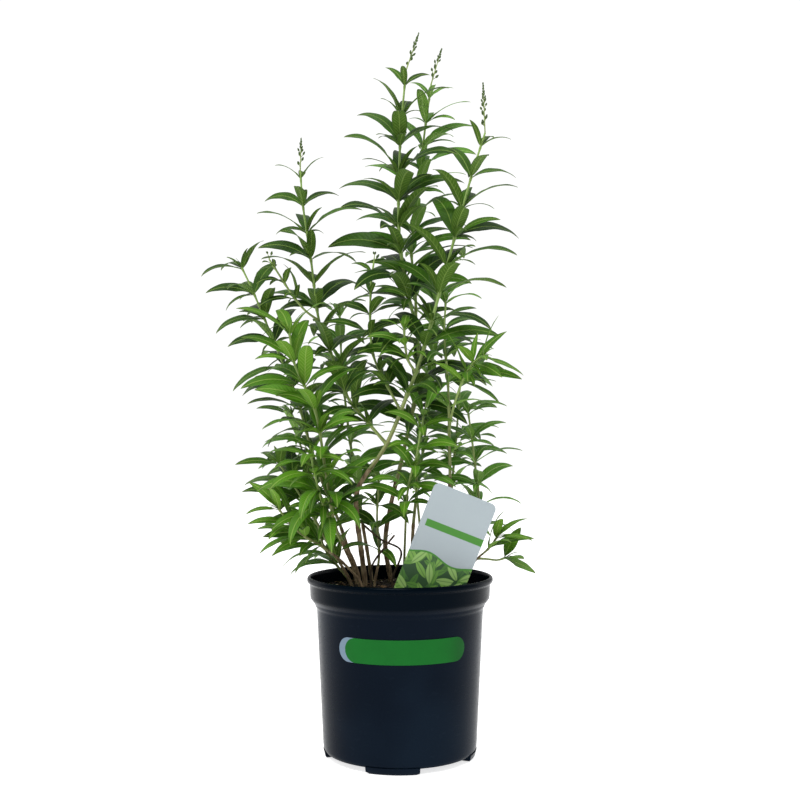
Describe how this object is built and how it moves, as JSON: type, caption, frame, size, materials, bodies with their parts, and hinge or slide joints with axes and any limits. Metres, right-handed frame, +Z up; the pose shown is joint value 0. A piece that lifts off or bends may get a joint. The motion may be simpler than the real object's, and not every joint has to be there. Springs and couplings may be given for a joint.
{
  "type": "potted lemon verbena",
  "caption": "Lemon verbena plant with whorled lance-shaped leaves and bud spikes, in a round black nursery pot of soil with a leaning plant label; stands on its base",
  "frame": {"origin": "the middle of the pot's flat base hub, on the surface that the pot stands on", "axes": "+Z up along the pot's axis; the plant label and the pot's band face -Y; +X to the viewer's right"},
  "size_m": [0.3504, 0.2711, 0.7403],
  "materials": {
    "pot_plastic": "satin",
    "band_print": "satin",
    "soil": "matte",
    "label_card": "satin",
    "cane_bark": "matte",
    "dry_wood": "matte",
    "leaf_dark": "satin",
    "leaf_bright": "satin",
    "leaf_grey": "satin",
    "bud_green": "matte"
  },
  "bodies": {
    "root": {"nursery_pot": "pot_plastic", "band_label": "band_print", "potting_soil": "soil", "plant_label": "label_card", "cane_front_left": "cane_bark", "cane_trunk": "cane_bark", "cane_tallest": "cane_bark", "cane_right": "cane_bark", "cane_far_left": "cane_bark", "cane_low_left": "cane_bark", "cane_label_left": "cane_bark", "cane_low_right": "cane_bark", "cane_lower_right": "cane_bark", "cane_low_back_left": "cane_bark", "cane_lower_left": "cane_bark", "cane_low_centre": "cane_bark", "cane_behind_label": "cane_bark", "cane_back": "cane_bark", "cane_back_left": "cane_bark", "cane_back_right": "cane_bark", "cane_far_back_left": "cane_bark", "dry_twig_long": "dry_wood", "dry_twig_short": "dry_wood", "shoot_front_left": "leaf_bright", "shoot_front_left_low": "leaf_bright", "shoot_trunk": "leaf_dark", "shoot_tallest": "leaf_dark", "shoot_left": "leaf_dark", "shoot_centre": "leaf_dark", "shoot_inner": "leaf_bright", "shoot_second": "leaf_grey", "shoot_right": "leaf_grey", "shoot_right_front": "leaf_bright", "shoot_far_left": "leaf_dark", "shoot_left_small": "leaf_dark", "shoot_low_left": "leaf_bright", "shoot_label_left": "leaf_bright", "shoot_low_right": "leaf_bright", "shoot_lowest_right": "leaf_bright", "shoot_lower_right": "leaf_grey", "shoot_low_back_left": "leaf_bright", "shoot_lower_left": "leaf_dark", "shoot_low_centre": "leaf_dark", "shoot_behind_label": "leaf_grey", "shoot_back": "leaf_grey", "shoot_back_left": "leaf_grey", "shoot_back_right": "leaf_grey", "shoot_far_back_left": "leaf_grey", "flower_spike_trunk": "bud_green", "flower_spike_tallest": "bud_green", "flower_spike_left": "bud_green", "flower_spike_centre": "bud_green", "flower_spike_second": "bud_green", "flower_spike_left_small": "bud_green"}
  },
  "joints": []
}
